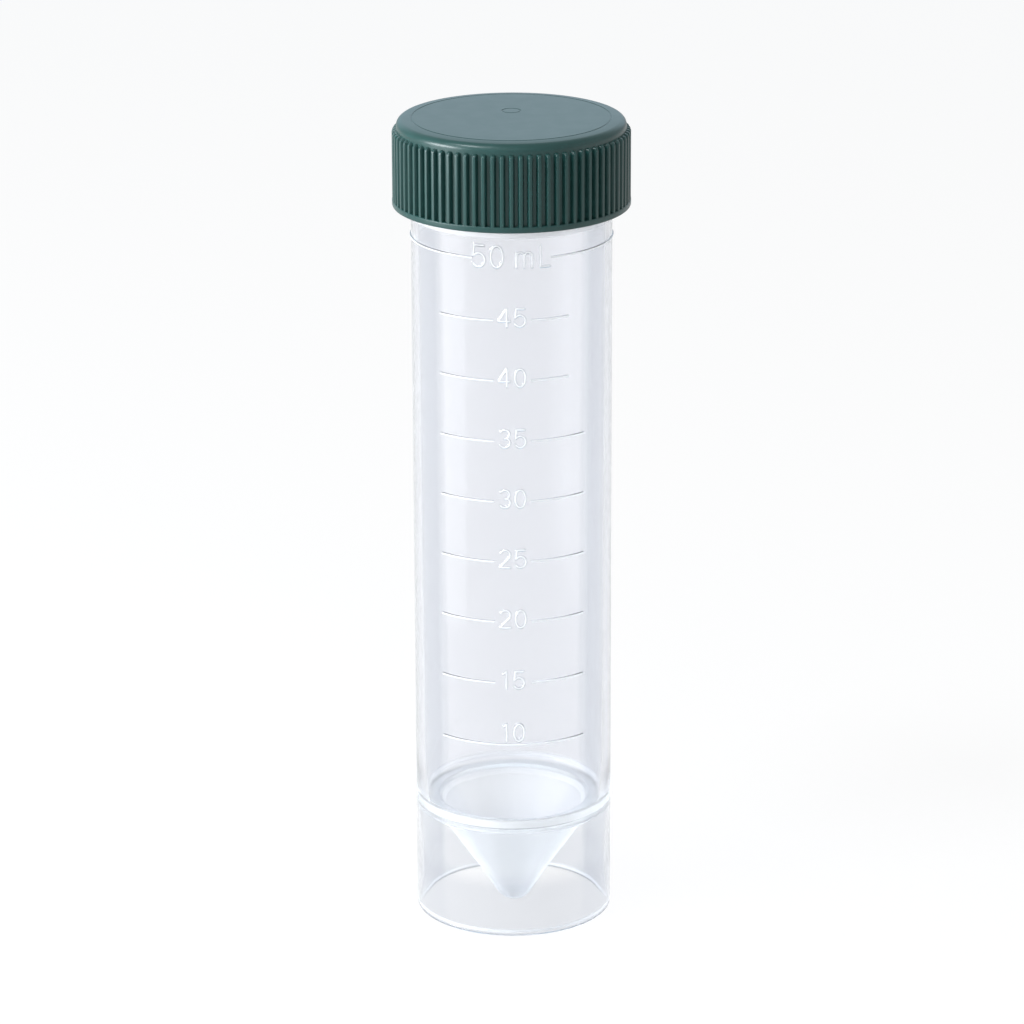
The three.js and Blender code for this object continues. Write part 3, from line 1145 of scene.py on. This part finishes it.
@dataclass
class Graduations:
    """Raised volume lines with their numerals, and the name of the full mark."""

    wall: float
    heights: dict[int, float] = field(default_factory=lambda: {
        10: 30.1 * MM, 15: 39.6 * MM, 20: 48.9 * MM, 25: 58.0 * MM, 30: 67.0 * MM,
        35: 75.95 * MM, 40: 84.9 * MM, 45: 93.7 * MM, 50: 102.6 * MM})
    width: float = 0.36 * MM
    crest_width: float = 0.2 * MM
    lean: float = 0.04 * MM
    relief: float = 0.17 * MM
    reach: float = 44.5
    short_reach: float = 33.5
    short_from: int = 40
    numeral_space: float = 10.5
    title_space: float = 22.5
    digit_height: float = 2.6 * MM
    title_height: float = 3.1 * MM
    raised: float = 0.4 * MM
    title_raised: float = 0.3 * MM
    first_raised: float = 1.8 * MM
    rounding_steps: int = 2

    def lines(self) -> list[bpy.types.Object]:
        """Models all raised lines.

        Returns:
            The lines as closed solids.
        """
        made: list[bpy.types.Object] = []
        for volume, height in self.heights.items():
            right = self.reach if volume < self.short_from else self.short_reach
            if volume == min(self.heights):
                made.append(self.line(height, -self.reach, right))
            elif volume == max(self.heights):
                made.append(self.line(height, self.title_space, 360.0 - self.title_space))
            else:
                made.append(self.line(height, -self.reach, -self.numeral_space))
                made.append(self.line(height, self.numeral_space, right))
        return made

    def lettering(self) -> list[Lettering]:
        """Lays out the numeral of each line, and the name of the full mark.

        Returns:
            The lettering, from the top down.
        """
        words: list[Lettering] = []
        for volume, height in sorted(self.heights.items(), reverse=True):
            raised = self.first_raised if volume == min(self.heights) else self.raised
            if volume == max(self.heights):
                words.append(Lettering(f"{volume} mL", self.title_height, height + self.title_raised))
            else:
                words.append(Lettering(str(volume), self.digit_height, height + raised))
        return words

    def rows(self) -> list[float]:
        """The upper and lower bounds of all lettering, from the top down."""
        return [words.height + side * words.half_height
                for words in self.lettering() for side in (1.0, -1.0)]

    def line(self, height: float, start: float, end: float) -> bpy.types.Object:
        """One raised line between two angles."""
        return Ridge(
            name="line", wall=self.wall, crest=self.wall + self.relief, root_width=self.width,
            crest_width=self.crest_width, start=start, span=end - start, height=height,
            lean=self.lean, rounding_steps=self.rounding_steps).build()


@dataclass
class Cap:
    """The screw cap: plate, ribbed side, flange, inner thread and liner bead."""

    span: Span
    bore: float = 15.4 * MM
    shell: float = 16.33 * MM
    flange: float = 16.98 * MM
    flange_height: float = 0.9 * MM
    flange_rounding: float = 0.25 * MM
    shoulder: float = 1.4 * MM
    shoulder_drop: float = 0.2 * MM
    crease_inset: float = 0.8 * MM
    crease_depth: float = 0.09 * MM
    crease_inner_flank: float = 0.14 * MM
    crease_outer_flank: float = 0.1 * MM
    crease_step: float = 0.01 * MM
    crease_inner_rounding: float = 0.08 * MM
    crease_rounding: float = 0.06 * MM
    corner_rounding: float = 0.12 * MM
    flange_top_rounding: float = 0.15 * MM
    inner_rounding: float = 0.2 * MM
    plate: float = 1.5 * MM
    lip: float = 0.4 * MM
    lip_rounding: float = 0.1 * MM
    bead_radius: float = 14.65 * MM
    bead_bottom: float = 8.9 * MM
    bead_top: float = 9.5 * MM
    rib_count: int = 80
    rib_height: float = 0.6 * MM
    rib_root: float = 0.43 * MM
    rib_crest: float = 0.22 * MM
    rib_rounding: float = 0.1 * MM
    rib_rounding_steps: int = 3
    rib_sunk: float = 0.25 * MM
    rib_end: float = 0.5 * MM
    rib_end_steps: int = 5
    rib_end_depth: float = 0.3
    rib_end_taper: float = 0.4
    rib_end_gap: float = 0.15 * MM
    gate_radius: float = 1.45 * MM
    gate_groove: float = 0.24 * MM
    gate_depth: float = 0.07 * MM
    gate_behind: float = 3.8 * MM
    gate_facets: int = 64
    gate_section: tuple[Point, ...] = ((0.0, 0.0), (0.3, 0.8), (0.5, 1.0), (0.7, 0.8), (1.0, 0.0))
    thread_bottom: float = 1.4 * MM
    thread_top: float = 7.9 * MM
    thread_start: float = -92.5
    facets: int = 320
    arc_steps: int = 8
    row: float = 3.0 * MM

    @property
    def height(self) -> float:
        """The cap's height, from its lower edge to its top."""
        return self.span.length

    def build(self) -> bpy.types.Object:
        """Models the cap with its ribs, thread and moulding mark.

        Returns:
            The finished cap.
        """
        piece = turned("cap_moulding", divided(self.outline(), self.row), self.facets)
        fuse(piece, [self.ribs()])
        fuse(piece, Thread(
            wall=self.bore, crest=self.bead_radius, bottom=self.thread_bottom,
            top=self.thread_top, start=self.thread_start).ridges())
        fuse(piece, [self.gate()], Fusing.CUT)
        piece.data.transform(Matrix.Translation((0.0, 0.0, self.span.bottom)))
        smooth(piece)
        dress(piece, SatinPlastic(
            "green_plastic", (0.0092, 0.0463, 0.0423, 1.0), (0.0102, 0.0488, 0.0452, 1.0),
            roughness=0.34, specular=0.42).build())
        return piece

    def outline(self) -> list[Point]:
        """Draws the cap's section, with its lower edge at height 0.

        Returns:
            The section's points, from the middle of the top round to the underside.
        """
        crease = self.shell - self.shoulder - self.crease_inset
        inside = self.inner_rounding
        return rounded([
            (0.0, self.height, 0.0),
            (crease - self.crease_inner_flank, self.height, self.crease_inner_rounding),
            (crease, self.height - self.crease_depth, self.crease_rounding),
            (crease + self.crease_outer_flank, self.height - self.crease_step, self.crease_rounding),
            (self.shell, self.height - self.shoulder_drop, self.shoulder),
            (self.shell, self.flange_height, self.corner_rounding),
            (self.flange, self.flange_height, self.flange_top_rounding),
            (self.flange, 0.0, self.flange_rounding),
            (self.bore + self.lip, 0.0, self.lip_rounding),
            (self.bore, self.lip, self.lip_rounding),
            (self.bore, self.bead_bottom, inside),
            (self.bead_radius, self.bead_bottom, inside),
            (self.bead_radius, self.bead_top, inside),
            (self.bore, self.bead_top, inside),
            (self.bore, self.height - self.plate, inside),
            (0.0, self.height - self.plate, 0.0),
        ], self.arc_steps)

    def ribs(self) -> bpy.types.Object:
        """Models one grip rib and copies it all round.

        Returns:
            All ribs as one object.
        """
        root = self.shell - self.rib_sunk
        crest = self.shell + self.rib_height
        section = rounded([
            (root, -self.rib_root, 0.0),
            (self.shell, -self.rib_root, 0.0),
            (crest, -self.rib_crest, self.rib_rounding),
            (crest, self.rib_crest, self.rib_rounding),
            (self.shell, self.rib_root, 0.0),
            (root, self.rib_root, 0.0),
        ], self.rib_rounding_steps)
        low = self.flange_height - self.rib_sunk
        high = self.height - self.shoulder - self.rib_end_gap
        first = outline_loop("rib", section, closed=True)
        bpy.ops.object.mode_set(mode="OBJECT")
        for vertex in first.data.vertices:
            vertex.co = (vertex.co.x, vertex.co.z, low)
        bpy.ops.object.mode_set(mode="EDIT")
        bpy.ops.mesh.select_all(action="SELECT")
        bpy.ops.mesh.edge_face_add()
        rise, out = 0.0, 1.0
        bpy.ops.mesh.extrude_region_move(
            TRANSFORM_OT_translate={"value": (0.0, 0.0, high - low - self.rib_end)})
        for step in range(1, self.rib_end_steps + 1):
            angle = math.pi / 2 * step / self.rib_end_steps
            lift = self.rib_end * math.sin(angle) - rise
            share = self.end_share(angle) / out
            bpy.ops.mesh.extrude_region_move(TRANSFORM_OT_translate={"value": (0.0, 0.0, lift)})
            bpy.ops.transform.resize(
                value=(share, self.end_narrowing(share), 1.0), center_override=(root, 0.0, 0.0))
            rise, out = rise + lift, out * share
        bpy.ops.object.mode_set(mode="OBJECT")
        clean_mesh(first)
        copies = [first]
        for number in range(1, self.rib_count):
            mesh = first.data.copy()
            mesh.transform(Matrix.Rotation(2 * math.pi * number / self.rib_count, 4, "Z"))
            copy = bpy.data.objects.new(f"rib_{number}", mesh)
            bpy.context.scene.collection.objects.link(copy)
            copies.append(copy)
        return joined("ribs", copies)

    def end_share(self, angle: float) -> float:
        """How far a rib still stands out, at an angle round its upper end."""
        return self.rib_end_depth + (1.0 - self.rib_end_depth) * math.cos(angle)

    def end_narrowing(self, share: float) -> float:
        """How much narrower a rib gets while it stands out by a share of what it did."""
        return 1.0 - self.rib_end_taper * (1.0 - share)

    def gate(self) -> bpy.types.Object:
        """Models the cutter for the round moulding mark in the top, a shallow groove.

        Returns:
            The cutter as a closed ring.
        """
        inner = self.gate_radius - self.gate_groove
        bottom = [(inner + across * self.gate_groove, self.height - deep * self.gate_depth)
                  for across, deep in self.gate_section]
        proud = self.height + self.gate_depth
        mark = turned(
            "gate", [(inner, proud), *bottom, (self.gate_radius, proud)], self.gate_facets, closed=True)
        mark.data.transform(Matrix.Translation((0.0, self.gate_behind, 0.0)))
        return mark


@dataclass
class Liner:
    """The soft sealing disc that lies under the cap's plate."""

    span: Span
    radius: float = 15.1 * MM
    rounding: float = 0.2 * MM
    arc_steps: int = 4
    facets: int = 128

    def build(self) -> bpy.types.Object:
        """Models the disc with its rounded edges.

        Returns:
            The finished liner.
        """
        piece = turned("liner_disc", rounded([
            (0.0, self.span.bottom, 0.0),
            (self.radius, self.span.bottom, self.rounding),
            (self.radius, self.span.top, self.rounding),
            (0.0, self.span.top, 0.0),
        ], self.arc_steps), self.facets)
        smooth(piece)
        dress(piece, SatinPlastic(
            "white_foam", (0.81, 0.81, 0.79, 1.0), (0.83, 0.83, 0.81, 1.0), roughness=0.6).build())
        return piece


# ------------------------------------------------------------------ studio


@dataclass(frozen=True)
class Lamp:
    """A soft rectangular lamp, whose radiance says how bright its face is, where 1 is white."""

    name: str
    place: Triple
    width: float
    height: float
    radiance: float
    colour: Triple = (1.0, 1.0, 1.0)
    highest_target: float = 90.0 * MM

    def hang(self) -> None:
        """Hangs the lamp, turned towards the object."""
        data = bpy.data.lights.new(self.name, "AREA")
        data.shape = "RECTANGLE"
        data.size = self.width
        data.size_y = self.height
        data.energy = self.radiance * math.pi * self.width * self.height
        data.color = self.colour
        lamp = bpy.data.objects.new(self.name, data)
        lamp.location = self.place
        target = Vector((0.0, 0.0, min(self.place[2], self.highest_target)))
        lamp.rotation_euler = (target - lamp.location).to_track_quat("-Z", "Y").to_euler()
        lamp.visible_camera = False
        bpy.context.scene.collection.objects.link(lamp)


@dataclass
class Studio:
    """Floor, lamps, surroundings and camera."""

    distance: float = 637.4 * MM
    aside: float = -0.1 * MM
    camera_height: float = 272.24 * MM
    pitch: float = 18.361
    lens: float = 162.6
    sensor: float = 36.0
    roll: float = -0.207
    floor_size: float = 8.0
    floor_paint: Colour = (0.9, 0.9, 0.9, 1.0)
    floor_white: float = 0.85
    white: Colour = (1.0, 1.0, 1.0, 1.0)
    room_light: float = 0.45
    horizon: Colour = (0.5, 0.55, 0.6, 1.0)
    ceiling: Colour = (0.72, 0.79, 0.82, 1.0)
    ceiling_edge: Fade = Fade(0.05, 0.3)
    lamps: tuple[Lamp, ...] = (
        Lamp("key", (-0.125, -0.045, 0.1), 0.08, 0.2, 0.7),
        Lamp("fill", (0.15, -0.03, 0.1), 0.12, 0.2, 0.3),
        Lamp("left", (-0.64, -0.22, 0.2), 0.36, 0.2, 27.0, (0.97, 1.0, 1.04)),
        Lamp("top", (-0.35, -0.25, 0.65), 0.17, 0.17, 26.0, (0.96, 1.0, 1.04)),
        Lamp("front", (-0.2, -0.9, 0.7), 0.8, 0.8, 0.55),
        Lamp("back", (0.0, 0.9, 0.4), 1.2, 0.5, 0.55, (0.6, 0.9, 1.15)),
    )

    def build(self) -> None:
        """Sets up everything round the object."""
        self.add_camera()
        self.add_floor()
        for lamp in self.lamps:
            lamp.hang()
        self.set_world()
        bpy.context.scene.view_settings.view_transform = "Standard"

    def add_camera(self) -> None:
        """Puts the camera in front of the object, looking a little down on it."""
        data = bpy.data.cameras.new("camera")
        data.lens = self.lens
        data.sensor_width = self.sensor
        camera = bpy.data.objects.new("camera", data)
        camera.location = (self.aside, -self.distance, self.camera_height)
        tilt = Matrix.Rotation(math.radians(90.0 - self.pitch), 3, "X")
        roll = Matrix.Rotation(math.radians(self.roll), 3, "Z")
        camera.rotation_euler = (tilt @ roll).to_euler()
        bpy.context.scene.collection.objects.link(camera)
        bpy.context.scene.camera = camera

    def add_floor(self) -> None:
        """Lays a wide pale floor under the object."""
        deselect()
        bpy.ops.mesh.primitive_plane_add(size=self.floor_size)
        floor = bpy.context.object
        floor.name = "floor"
        shader = Shader.new("pale_floor")
        paint = shader.node("ShaderNodeBsdfDiffuse", Color=self.floor_paint)
        glow = shader.node("ShaderNodeEmission", Color=self.white, Strength=1.0)
        output = shader.node("ShaderNodeOutputMaterial")
        share = shader.math("MULTIPLY", seen(shader), self.floor_white)
        shader.link(shader.cover(share, paint.outputs[0], glow.outputs[0]), output.inputs["Surface"])
        floor.data.materials.append(shader.material)

    def set_world(self) -> None:
        """Surrounds the object with an even pale room."""
        world = bpy.data.worlds.new("room")
        bpy.context.scene.world = world
        world.use_nodes = True
        world.node_tree.nodes.clear()
        shader = Shader(world)
        light = shader.node("ShaderNodeBackground", Color=self.white, Strength=self.room_light)
        wall = shader.node("ShaderNodeBackground", Strength=1.0)
        direction = shader.node("ShaderNodeSeparateXYZ")
        shader.link(shader.node("ShaderNodeTexCoord").outputs["Generated"], direction.inputs[0])
        raised = shader.ramp(direction.outputs["Z"], self.ceiling_edge)
        shader.link(shader.blend(raised, self.horizon, self.ceiling), wall.inputs["Color"])
        output = shader.node("ShaderNodeOutputWorld")
        shader.link(shader.cover(seen(shader), light.outputs[0], wall.outputs[0]), output.inputs["Surface"])


def main() -> None:
    """Builds each sub-assembly round the frame and reports it."""
    logging.basicConfig(level=logging.INFO, format="%(name)s: %(message)s")
    for kind, node, slot, body in (
            (Tube, "tube", "tube_polypropylene", "tube"),
            (Liner, "seal_liner", "liner_white", "liner"),
            (Cap, "cap", "cap_green", "cap")):
        piece = kind(Span.of(node)).build()
        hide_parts(node)
        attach(piece, body)
        LOG.info("%s: %d faces", piece.name, len(piece.data.polygons))
    Studio().build()


if __name__ == "__main__":
    main()
